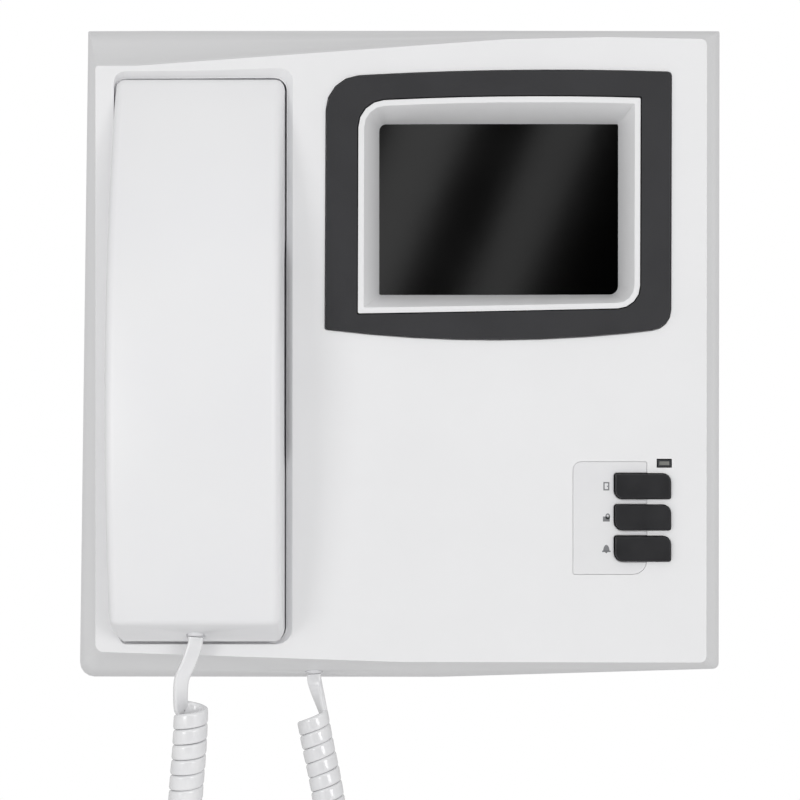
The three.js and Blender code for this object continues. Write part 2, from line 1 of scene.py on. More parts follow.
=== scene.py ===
"""Video intercom monitor: the finished looks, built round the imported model.

Lengths in the classes below are millimetres; ``MM`` turns them to metres when a mesh is made.
+X is right, +Z is up and the front faces -Y, with the wall at y = 0.
"""
import logging
import math
from collections.abc import Sequence
from dataclasses import dataclass
from enum import Enum

import bmesh
import bpy
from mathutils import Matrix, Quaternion, Vector


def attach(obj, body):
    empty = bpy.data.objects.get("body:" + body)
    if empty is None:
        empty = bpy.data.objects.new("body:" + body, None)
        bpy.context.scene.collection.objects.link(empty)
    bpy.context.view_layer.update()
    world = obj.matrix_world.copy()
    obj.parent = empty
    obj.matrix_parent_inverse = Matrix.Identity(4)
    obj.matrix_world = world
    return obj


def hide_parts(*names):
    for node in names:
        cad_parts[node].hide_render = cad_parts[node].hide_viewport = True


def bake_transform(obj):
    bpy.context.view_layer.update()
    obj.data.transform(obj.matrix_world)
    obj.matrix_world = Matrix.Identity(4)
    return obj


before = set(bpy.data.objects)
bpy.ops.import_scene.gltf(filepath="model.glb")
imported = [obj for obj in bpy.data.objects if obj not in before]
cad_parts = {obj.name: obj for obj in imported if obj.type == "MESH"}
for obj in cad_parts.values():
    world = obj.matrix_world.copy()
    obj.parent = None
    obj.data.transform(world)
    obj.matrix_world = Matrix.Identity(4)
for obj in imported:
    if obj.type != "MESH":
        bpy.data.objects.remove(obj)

LOG = logging.getLogger("intercom")
MM = 0.001
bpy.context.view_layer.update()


class Body(Enum):
    """The rigid bodies that the new pieces ride on."""

    BASE = "base"
    HANDSET = "handset"
    VIEW_KEY = "view_key"
    UNLOCK_KEY = "unlock_key"
    ALARM_KEY = "alarm_key"


# ------------------------------------------------------------------ material kit


def hex_to_linear(code: str) -> tuple[float, float, float, float]:
    """Turn an sRGB hex colour into linear RGBA.

    Args:
        code: Colour such as "#ededee".

    Returns:
        Linear red, green, blue and an alpha of one.
    """
    channels = [int(code[i:i + 2], 16) / 255 for i in (1, 3, 5)]
    linear = [c / 12.92 if c <= 0.04045 else ((c + 0.055) / 1.055) ** 2.4 for c in channels]
    return linear[0], linear[1], linear[2], 1.0


def add_node(tree: bpy.types.NodeTree, kind: str, links: dict, **settings) -> bpy.types.Node:
    """Add a shader node with its links and settings.

    Args:
        tree: Node tree that receives the node.
        kind: Name of the node type.
        links: Input socket to either the socket that feeds it or a constant value.
        **settings: Properties set on the node itself.

    Returns:
        The new node.
    """
    node = tree.nodes.new(kind)
    for name, value in settings.items():
        setattr(node, name, value)
    for socket, value in links.items():
        if isinstance(value, bpy.types.NodeSocket):
            tree.links.new(value, node.inputs[socket])
        else:
            node.inputs[socket].default_value = value
    return node


# ------------------------------------------------------------------ finishes

TONE_ENDS = (0.25, 0.75)  # pattern values where the surface has all of one colour or of the other
GLOSS_ENDS = (0.2, 0.8)  # drift values with the lowest and the highest roughness
CONVEX_ENDS = (0.52, 0.62)  # pointiness where the rubbing starts and where it is full
EDGE_ENDS = (0.999, 0.97)  # agreement of the plain and the rounded normal off an edge and on it
EDGE_REACH_MM = 1.0  # how far from an edge the rubbing reaches
EDGE_RUBBING = 0.5  # share of the rubbed colour on a sharp edge
WAVE_SPAN = 0.31  # turns of a band pattern at scale one in each unit of length
TRACK_ENDS = (0.06, 0.1)  # distance from the border of a board's cell, in cells, where the track ends
WINDING_SWAY = 0.6  # how far a ridge of the winding wanders
CELL_UNEVENNESS = 0.4  # zero gives square cells on a board
WIRE_MAP = "along_wire"
DIE_LINES = 26.0  # lines round the wire
DIE_LINE_DRIFT = 0.04  # changes of a line's depth in each millimetre of wire


@dataclass(frozen=True)
class Finish:
    """A surface with slow changes of tone and gloss, a fine relief and rubbed edges.

    Attributes:
        name: Common name of the material and how its surface was made.
        colour: Colour over most of the surface.
        shade: Second colour that it drifts to.
        rubbed: Colour of the edges that hands and cloths have polished.
        gloss: Lowest and highest roughness.
        drift_mm: Size of the slow changes.
        grain_mm: Size of the fine relief.
        grain_depth_mm: Height of the fine relief.
        stretch: How much longer the relief is along X, Y and Z.
        constants: Values set on the shader's own sockets.
    """

    name: str
    colour: str
    shade: str
    rubbed: str
    gloss: tuple[float, float]
    drift_mm: float = 34.0
    grain_mm: float = 0.4
    grain_depth_mm: float = 0.015
    stretch: tuple[float, float, float] = (1.0, 1.0, 1.0)
    constants: tuple[tuple[str, float], ...] = (("IOR", 1.53),)

    def relief(self, tree: bpy.types.NodeTree, place: bpy.types.NodeSocket) -> bpy.types.NodeSocket:
        """Draw the fine relief.

        Args:
            tree: Node tree of the material.
            place: Position in the piece's own frame, in metres.

        Returns:
            The relief's height, from zero to one.
        """
        scale = [1 / (self.grain_mm * MM * longer) for longer in self.stretch]
        grid = add_node(tree, "ShaderNodeMapping", {"Vector": place, "Scale": scale})
        grain = add_node(tree, "ShaderNodeTexNoise", {"Vector": grid.outputs[0], "Scale": 1.0, "Detail": 2.0})
        return grain.outputs[0]

    def material(self) -> bpy.types.Material:
        """Build the material.

        Returns:
            The finished material.
        """
        material = bpy.data.materials.new(self.name)
        material.use_nodes = True
        tree = material.node_tree
        shader = tree.nodes["Principled BSDF"]
        for socket, value in self.constants:
            shader.inputs[socket].default_value = value
        place = add_node(tree, "ShaderNodeTexCoord", {}).outputs["Object"]
        drift = add_node(tree, "ShaderNodeTexNoise", {
            "Vector": place, "Scale": 1 / (self.drift_mm * MM), "Detail": 3.0})
        relief = self.relief(tree, place)
        tone = add_node(tree, "ShaderNodeValToRGB", {"Fac": self.tone_pattern(drift.outputs[0], relief)})
        tone.color_ramp.interpolation = "EASE"
        for element, colour, spot in zip(tone.color_ramp.elements, (self.colour, self.shade), TONE_ENDS):
            element.color = hex_to_linear(colour)
            element.position = spot
        surface = add_node(tree, "ShaderNodeNewGeometry", {})
        rounded = add_node(tree, "ShaderNodeBevel", {"Radius": EDGE_REACH_MM * MM})
        turned = add_node(tree, "ShaderNodeVectorMath", {
            0: rounded.outputs[0], 1: surface.outputs["Normal"]}, operation="DOT_PRODUCT")
        near_edge = add_node(tree, "ShaderNodeMapRange", {
            "Value": turned.outputs["Value"], "From Min": EDGE_ENDS[0], "From Max": EDGE_ENDS[1],
            "To Max": EDGE_RUBBING})
        rubbing = add_node(tree, "ShaderNodeMapRange", {
            "Value": surface.outputs["Pointiness"], "From Min": CONVEX_ENDS[0], "From Max": CONVEX_ENDS[1],
            "To Max": near_edge.outputs[0]})
        colour = add_node(tree, "ShaderNodeMix", {
            "Factor": rubbing.outputs[0], 6: tone.outputs[0], 7: hex_to_linear(self.rubbed)},
            data_type="RGBA")
        gloss = add_node(tree, "ShaderNodeMapRange", {
            "Value": drift.outputs[0], "From Min": GLOSS_ENDS[0], "From Max": GLOSS_ENDS[1],
            "To Min": self.gloss[0], "To Max": self.gloss[1]})
        ridges = add_node(tree, "ShaderNodeBump", {"Height": relief, "Distance": self.grain_depth_mm * MM})
        tree.links.new(colour.outputs[2], shader.inputs["Base Color"])
        tree.links.new(gloss.outputs[0], shader.inputs["Roughness"])
        tree.links.new(ridges.outputs[0], shader.inputs["Normal"])
        return material

    def tone_pattern(self, drift: bpy.types.NodeSocket, relief: bpy.types.NodeSocket) -> bpy.types.NodeSocket:
        """Choose the pattern that the two colours follow: the slow drift, unless a finish says otherwise."""
        return drift


@dataclass(frozen=True)
class Woven(Finish):
    """A surface whose colours follow its relief, such as drawn lines or plating spots."""

    def tone_pattern(self, drift: bpy.types.NodeSocket, relief: bpy.types.NodeSocket) -> bpy.types.NodeSocket:
        """Let the two colours follow the relief."""
        return relief


@dataclass(frozen=True)
class Wound(Woven):
    """Wire wound side by side, which shows as fine parallel ridges."""

    def relief(self, tree: bpy.types.NodeTree, place: bpy.types.NodeSocket) -> bpy.types.NodeSocket:
        """Draw one ridge for each turn of wire; see the base class."""
        turns = add_node(tree, "ShaderNodeTexWave", {
            "Vector": place, "Scale": WAVE_SPAN / (self.grain_mm * MM), "Distortion": WINDING_SWAY},
            wave_type="BANDS", bands_direction="Z")
        return turns.outputs[1]


@dataclass(frozen=True)
class Tracked(Woven):
    """A circuit board, with tracks that run between its cells."""

    def relief(self, tree: bpy.types.NodeTree, place: bpy.types.NodeSocket) -> bpy.types.NodeSocket:
        """Draw the tracks as the borders of uneven cells; see the base class."""
        cells = add_node(tree, "ShaderNodeTexVoronoi", {
            "Vector": place, "Scale": 1 / (self.grain_mm * MM), "Randomness": CELL_UNEVENNESS},
            feature="DISTANCE_TO_EDGE")
        edge = add_node(tree, "ShaderNodeMapRange", {
            "Value": cells.outputs["Distance"], "From Min": TRACK_ENDS[0], "From Max": TRACK_ENDS[1]})
        return edge.outputs[0]


@dataclass(frozen=True)
class Extruded(Finish):
    """A wire jacket with fine die lines along it; its UV map runs round and along the wire."""

    def relief(self, tree: bpy.types.NodeTree, place: bpy.types.NodeSocket) -> bpy.types.NodeSocket:
        """Draw the die lines along the wire; see the base class."""
        along = add_node(tree, "ShaderNodeUVMap", {}, uv_map=WIRE_MAP)
        lines = add_node(tree, "ShaderNodeMapping", {
            "Vector": along.outputs[0], "Scale": (DIE_LINES, DIE_LINE_DRIFT, 1.0)})
        relief = add_node(tree, "ShaderNodeTexNoise", {
            "Vector": lines.outputs[0], "Scale": 1.0, "Detail": 2.0})
        return relief.outputs[0]


# Injection-moulded ABS from a spark-eroded tool: an even satin with a very fine grain. The grain is
# drawn at 0.35 mm, coarser than the real 0.05 mm, so that it shows.
CASE_WHITE = Finish("injection-moulded white ABS", "#eeeeef", "#ebebec", "#f6f6f6", (0.36, 0.46),
                    drift_mm=40, grain_mm=0.35, grain_depth_mm=0.004)
# The same plastic from a polished tool, so the highlights are tighter.
HANDSET_WHITE = Finish("polished white ABS", "#eeeeef", "#ebebed", "#f7f7f7", (0.32, 0.4),
                       drift_mm=60, grain_mm=0.6, grain_depth_mm=0.003)
# Coarsely etched tool: a dry grain that scatters the highlight.
BEZEL_CHARCOAL = Finish("textured charcoal ABS", "#252528", "#2b2b2e", "#3d3d40", (0.5, 0.62),
                        drift_mm=16, grain_mm=0.45, grain_depth_mm=0.03)
# Satin keys that fingers have rubbed a little brighter on their edges.
BUTTON_BLACK = Finish("satin black ABS", "#17171a", "#1d1d20", "#303033", (0.34, 0.44),
                      drift_mm=8, grain_mm=0.4, grain_depth_mm=0.012)
# Glass-filled nylon for inner parts: dull and slightly mottled.
DARK_PLASTIC = Finish("moulded black polyamide", "#1f2124", "#2a2d31", "#3d4044", (0.45, 0.6),
                      drift_mm=9, grain_mm=0.4, grain_depth_mm=0.02)
# Clouded lens plastic over the lamp.
LENS_GREY = Finish("clouded polycarbonate", "#858683", "#777875", "#a3a4a1", (0.16, 0.26),
                   drift_mm=2, grain_mm=0.8, grain_depth_mm=0.01, constants=(("IOR", 1.585),))
# Screen-printed ink: flat and matt, with a trace of the mesh.
LEGEND_INK = Finish("screen-printed grey ink", "#77787b", "#828386", "#8d8e91", (0.5, 0.6),
                    drift_mm=1.5, grain_mm=0.25, grain_depth_mm=0.004, constants=(("IOR", 1.5),))
# Matt polyester film, smoother than the case round it.
LEGEND_FILM = Finish("matt polyester film", "#e7e7e8", "#e3e3e5", "#ededee", (0.42, 0.5),
                     drift_mm=25, grain_mm=0.3, grain_depth_mm=0.003, constants=(("IOR", 1.57),))
# Polished smoked acrylic: a near-black mirror whose faint hard-coat haze softens what it reflects.
SMOKED_ACRYLIC = Finish("hard-coated smoked acrylic", "#010101", "#020202", "#0a0a0b", (0.075, 0.09),
                        drift_mm=30, grain_mm=14, grain_depth_mm=0.006, constants=(("IOR", 1.49),))
# Soft PVC jacket: a wet gloss with faint die lines.
CORD_VINYL = Extruded("extruded soft PVC", "#efeff0", "#e8e8ea", "#f8f8f8", (0.12, 0.2),
                      drift_mm=9, grain_mm=0.3, grain_depth_mm=0.02,
                      constants=(("IOR", 1.53), ("Coat Weight", 0.8), ("Coat Roughness", 0.06)))
# The cord's PVC, moulded into bushes: the tool leaves it matt.
BUSH_VINYL = Finish("moulded soft PVC", "#e6e6e8", "#dfdfe2", "#f0f0f1", (0.36, 0.46),
                    drift_mm=8, grain_mm=0.4, grain_depth_mm=0.01)
# Rolled steel with clear zinc: cool, streaked along the rolling and cloudy.
PLATED_STEEL = Woven("zinc-plated steel", "#b4b8bb", "#9da2a7", "#c8cbce", (0.28, 0.44),
                     drift_mm=6, grain_mm=0.5, grain_depth_mm=0.008, stretch=(18, 18, 1),
                     constants=(("Metallic", 1.0),))
# Extruded fins left as drawn: straight die lines stretch the highlight.
DRAWN_ALUMINIUM = Woven("mill-finish aluminium", "#c9cacc", "#b4b6b9", "#dcdddf", (0.26, 0.4),
                        drift_mm=8, grain_mm=0.4, grain_depth_mm=0.015, stretch=(1, 30, 30),
                        constants=(("Metallic", 1.0),))
# Enamelled wire, dipped in varnish: warm and glossy over its ridges.
COPPER_WINDING = Wound("enamelled copper winding", "#6d3216", "#a4552a", "#c07a4c", (0.3, 0.45),
                       drift_mm=5, grain_mm=0.8, grain_depth_mm=0.1,
                       constants=(("Metallic", 0.85), ("Coat Weight", 0.5), ("Coat Roughness", 0.15)))
# Phenolic paper board under lacquer: brown, with paler tinned tracks.
CIRCUIT_BOARD = Tracked("lacquered phenolic board", "#8f7a3c", "#6d4a22", "#a08a50", (0.35, 0.5),
                        drift_mm=10, grain_mm=5.08, grain_depth_mm=0.04,
                        constants=(("IOR", 1.5), ("Coat Weight", 0.3), ("Coat Roughness", 0.2)))
# Pressed glass, dark with its inner graphite coat: glossy and slightly wavy.
TUBE_GLASS = Finish("graphite-coated tube glass", "#2c3233", "#3a4243", "#4a5354", (0.1, 0.2),
                    drift_mm=12, grain_mm=12, grain_depth_mm=0.05,
                    constants=(("IOR", 1.52), ("Coat Weight", 0.8), ("Coat Roughness", 0.04)))
FINISHES = (CASE_WHITE, HANDSET_WHITE, BEZEL_CHARCOAL, BUTTON_BLACK, DARK_PLASTIC, LENS_GREY,
            LEGEND_INK, LEGEND_FILM, SMOKED_ACRYLIC, CORD_VINYL, BUSH_VINYL, PLATED_STEEL,
            DRAWN_ALUMINIUM, COPPER_WINDING, CIRCUIT_BOARD, TUBE_GLASS)


class Palette:
    """The materials, each built once and found again by its finish's name."""

    def __init__(self, finishes: Sequence[Finish]) -> None:
        """Build every finish's material."""
        self._materials = {finish.name: finish.material() for finish in finishes}

    def dress(self, piece: bpy.types.Object, *finishes: Finish) -> None:
        """Give a piece its finishes.

        Args:
            piece: Object that loses its old materials.
            *finishes: The first one covers the piece; any others fill its later slots.
        """
        piece.data.materials.clear()
        for finish in finishes:
            piece.data.materials.append(self._materials[finish.name])


# ------------------------------------------------------------------ modelling kit

MERGE_DISTANCE = 2e-6  # corners closer than this, in metres, are one corner
FLAT_TURN_DEG = 0.6  # neighbouring facets that turn less than this are one flat face
LARGE_FLAT_MM2 = 5000.0  # a flat face that is kept crisp has at least this area
SHALLOW_CREASE_DEG = 4.0  # smallest turn of an edge that is kept crisp
SQUARE = 0.99999  # largest part of the normal of a face that is square to an axis
FACING = -0.99  # Y of the normal of a face that looks straight out of the wall


def deselect() -> None:
    """Leave edit mode and select nothing."""
    if bpy.context.object and bpy.context.object.mode != "OBJECT":
        bpy.ops.object.mode_set(mode="OBJECT")
    bpy.ops.object.select_all(action="DESELECT")


def activate(piece: bpy.types.Object) -> None:
    """Make a piece the only selected and the active one.

    Args:
        piece: Object that is selected.
    """
    deselect()
    piece.select_set(True)
    bpy.context.view_layer.objects.active = piece


def apply_modifier(piece: bpy.types.Object, kind: str, **settings) -> None:
    """Add a modifier, set it and apply it.

    Args:
        piece: Mesh that is changed.
        kind: Name of the modifier type.
        **settings: Properties set on the modifier.
    """
    activate(piece)
    modifier = piece.modifiers.new(kind.lower(), kind)
    for name, value in settings.items():
        setattr(modifier, name, value)
    bpy.ops.object.modifier_apply(modifier=modifier.name)


def finish_mesh(piece: bpy.types.Object, angle_deg: float) -> None:
    """Merge doubles, turn the normals outwards and smooth all but the sharp edges.

    Args:
        piece: Mesh that is finished.
        angle_deg: Edges that turn more than this stay sharp.
    """
    activate(piece)
    bpy.ops.object.mode_set(mode="EDIT")
    bpy.ops.mesh.select_all(action="SELECT")
    bpy.ops.mesh.remove_doubles(threshold=MERGE_DISTANCE)
    bpy.ops.mesh.normals_make_consistent(inside=False)
    bpy.ops.object.mode_set(mode="OBJECT")
    bpy.ops.object.shade_smooth_by_angle(angle=math.radians(angle_deg))
    apply_modifier(piece, "WEIGHTED_NORMAL", keep_sharp=True, weight=100)


def mark_shallow_creases(piece: bpy.types.Object, limit_deg: float) -> None:
    """Keep a large flat face crisp where a slightly tilted facet meets it.

    Args:
        piece: Mesh whose edges are marked.
        limit_deg: Edges that turn more than this are rounded instead.
    """
    shape = bmesh.new()
    shape.from_mesh(piece.data)
    for edge in shape.edges:
        if len(edge.link_faces) == 2:
            largest = max(face.calc_area() for face in edge.link_faces)
            turn = math.degrees(edge.calc_face_angle())
            edge.smooth = not (largest > LARGE_FLAT_MM2 * MM * MM and SHALLOW_CREASE_DEG < turn < limit_deg)
    shape.to_mesh(piece.data)
    shape.free()


def straighten_flats(piece: bpy.types.Object) -> None:
    """Give every corner of a face that is square to an axis that face's own direction.

    Args:
        piece: Mesh whose corner directions are set.
    """
    directions = [Vector(corner.vector) for corner in piece.data.corner_normals]
    for polygon in piece.data.polygons:
        if max(abs(part) for part in polygon.normal) > SQUARE:
            for corner in polygon.loop_indices:
                directions[corner] = polygon.normal.copy()
    piece.data.normals_split_custom_set(directions)


def softened_copy(node: str, name: str, radius_mm: float, segments: int = 3,
                  angle_deg: float = 30) -> bpy.types.Object:
    """Copy a CAD part, clean its flats and round its edges.

    Args:
        node: CAD node that is copied and then replaced.
        name: Name of the new piece.
        radius_mm: Radius of the rounded edges.
        segments: Number of faces across a rounded edge.
        angle_deg: Edges that turn more than this are rounded.

    Returns:
        The new piece.
    """
    piece = bpy.data.objects.new(name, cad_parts[node].data.copy())
    bpy.context.scene.collection.objects.link(piece)
    activate(piece)
    bpy.ops.object.mode_set(mode="EDIT")
    bpy.ops.mesh.select_all(action="SELECT")
    bpy.ops.mesh.remove_doubles(threshold=MERGE_DISTANCE)
    bpy.ops.mesh.dissolve_limited(angle_limit=math.radians(FLAT_TURN_DEG))
    bpy.ops.object.mode_set(mode="OBJECT")
    mark_shallow_creases(piece, angle_deg)
    activate(piece)
    bpy.ops.object.shade_smooth()
    apply_modifier(piece, "BEVEL", width=radius_mm * MM, segments=segments, limit_method="ANGLE",
                   angle_limit=math.radians(angle_deg), harden_normals=True, use_clamp_overlap=True,
                   miter_outer="MITER_ARC")
    apply_modifier(piece, "TRIANGULATE", min_vertices=5, keep_custom_normals=True)
    straighten_flats(piece)
    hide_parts(node)
    return piece


def settle(piece: bpy.types.Object, body: Body) -> None:
    """Let a finished piece ride on its body and report it.

    Args:
        piece: The finished piece.
        body: Body it moves with.
    """
    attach(piece, body.value)
    LOG.info("%s: %d faces on %s", piece.name, len(piece.data.polygons), body.value)


# ------------------------------------------------------------------ studio

STRIP_LEAN = math.radians(-23)  # turn of the two strips that make the bands in the window
OPENING = (-0.97, -0.86)  # Y of the directions where the tent is fully open and where it is closed


@dataclass(frozen=True)
class Panel:
    """A rectangular light that points at the part.

    Attributes:
        name: Name of the light.
        place: Its middle, in metres.
        size: Width and height in metres.
        power: Power in watts.
        lean: Turn about its own axis in radians.
        mirrored: Whether shiny surfaces reflect it.
    """

    name: str
    place: tuple[float, float, float]
    size: tuple[float, float]
    power: float
    lean: float = 0.0
    mirrored: bool = True

    def hang(self) -> None:
        """Make the light and aim it."""
        data = bpy.data.lights.new(self.name, "AREA")
        data.shape = "RECTANGLE"
        data.size, data.size_y = self.size
        data.energy = self.power
        light = bpy.data.objects.new(self.name, data)
        light.location = self.place
        light.visible_glossy = self.mirrored
        aim = -Vector(self.place)
        turn = Quaternion((0, 0, 1), self.lean)
        light.rotation_euler = (aim.to_track_quat("-Z", "Y") @ turn).to_euler()
        bpy.context.scene.collection.objects.link(light)


@dataclass
class Studio:
    """The pale floor, the soft lights and the camera."""

    camera_distance: float = 700.0
    camera_height: float = -16.0
    lens_mm: float = 91.6
    sensor_mm: float = 36.0
    floor_height: float = -300.0
    floor_side: float = 1.4
    floor_roughness: float = 0.8
    sky: float = 0.58
    light_bounces: int = 12
    panels: tuple[Panel, ...] = (
        Panel("right_panel", (1.0, -1.5, 0.1), (0.6, 0.6), 4.4),
        Panel("left_panel", (-1.0, -1.5, 0.05), (0.6, 0.6), 4.6),
        Panel("top_panel", (-0.1, -1.5, 0.95), (0.6, 0.6), 1.2),
        Panel("fill_panel_0", (0.3, -1.1, 0.1), (0.2, 0.2), 0.6, mirrored=False),
        Panel("fill_panel_1", (-0.12, -1.1, 0.12), (0.2, 0.2), 0.5, mirrored=False),
        Panel("long_strip", (0.14, -1.5, 0.19), (0.055, 0.5), 0.085, STRIP_LEAN),
        Panel("wide_strip", (0.0, -1.5, 0.2), (0.075, 0.36), 0.1, STRIP_LEAN))

    def build(self) -> None:
        """Make the camera, the floor and the lights."""
        bpy.context.scene.view_settings.view_transform = "Standard"
        bpy.context.scene.cycles.diffuse_bounces = self.light_bounces
        self._camera()
        self._floor()
        self._world()
        for panel in self.panels:
            panel.hang()

    def _camera(self) -> None:
        """Set the camera square in front of the case, a little below its middle."""
        camera = bpy.data.objects.new("camera", bpy.data.cameras.new("camera"))
        camera.location = (0, -self.camera_distance * MM, self.camera_height * MM)
        camera.rotation_euler = (math.pi / 2, 0, 0)
        camera.data.lens = self.lens_mm
        camera.data.sensor_width = self.sensor_mm
        bpy.context.scene.collection.objects.link(camera)
        bpy.context.scene.camera = camera

    def _floor(self) -> None:
        """Lay a wide pale floor under the hanging part."""
        bpy.ops.mesh.primitive_plane_add(size=self.floor_side, location=(0, 0, self.floor_height * MM))
        floor = bpy.context.object
        floor.name = "floor"
        bpy.ops.object.transform_apply(location=True)
        material = bpy.data.materials.new("painted studio floor")
        material.use_nodes = True
        shader = material.node_tree.nodes["Principled BSDF"]
        shader.inputs["Base Color"].default_value = hex_to_linear("#f6f6f6")
        shader.inputs["Roughness"].default_value = self.floor_roughness
        floor.data.materials.append(material)

    def _world(self) -> None:
        """Surround the part with a white tent, whose opening round the camera shows only in reflections."""
        world = bpy.data.worlds.new("tent")
        world.use_nodes = True
        tree = world.node_tree
        tent = tree.nodes["Background"]
        tent.inputs["Color"].default_value = hex_to_linear("#ffffff")
        direction = add_node(tree, "ShaderNodeTexCoord", {}).outputs["Generated"]
        forward = add_node(tree, "ShaderNodeSeparateXYZ", {"Vector": direction}).outputs[1]
        rays = add_node(tree, "ShaderNodeLightPath", {})
        hidden = add_node(tree, "ShaderNodeMath", {
            0: rays.outputs["Is Glossy Ray"], 1: -self.sky, 2: self.sky}, operation="MULTIPLY_ADD")
        opening = add_node(tree, "ShaderNodeMapRange", {
            "Value": forward, "From Min": OPENING[0], "From Max": OPENING[1],
            "To Min": hidden.outputs[0], "To Max": self.sky})
        tree.links.new(opening.outputs[0], tent.inputs["Strength"])
        backdrop = add_node(tree, "ShaderNodeBackground", {
            "Color": hex_to_linear("#ffffff"), "Strength": 1.0})
        seen = rays.outputs["Is Camera Ray"]
        both = add_node(tree, "ShaderNodeMixShader", {0: seen, 1: tent.outputs[0], 2: backdrop.outputs[0]})
        tree.links.new(both.outputs[0], tree.nodes["World Output"].inputs["Surface"])
        bpy.context.scene.world = world


# ------------------------------------------------------------------ cord


def smooth_route(points: Sequence[Sequence[float]], per_span: int) -> list[Vector]:
    """Draw a smooth curve through the given points.

    Args:
        points: Route points.
        per_span: Number of points made between each pair.

    Returns:
        The finer route, ends included.
    """
    knots = [Vector(p) for p in points]
    padded = [knots[0] * 2 - knots[1], *knots, knots[-1] * 2 - knots[-2]]
    route = []
    for i in range(1, len(padded) - 2):
        before, here, after, beyond = padded[i - 1:i + 3]
        for step in range(per_span):
            t = step / per_span
            pull = (here * 2 + (after - before) * t + (before * 2 - here * 5 + after * 4 - beyond) * t * t
                    + (here * 3 - before - after * 3 + beyond) * t ** 3)
            route.append(pull / 2)
    return [*route, knots[-1]]


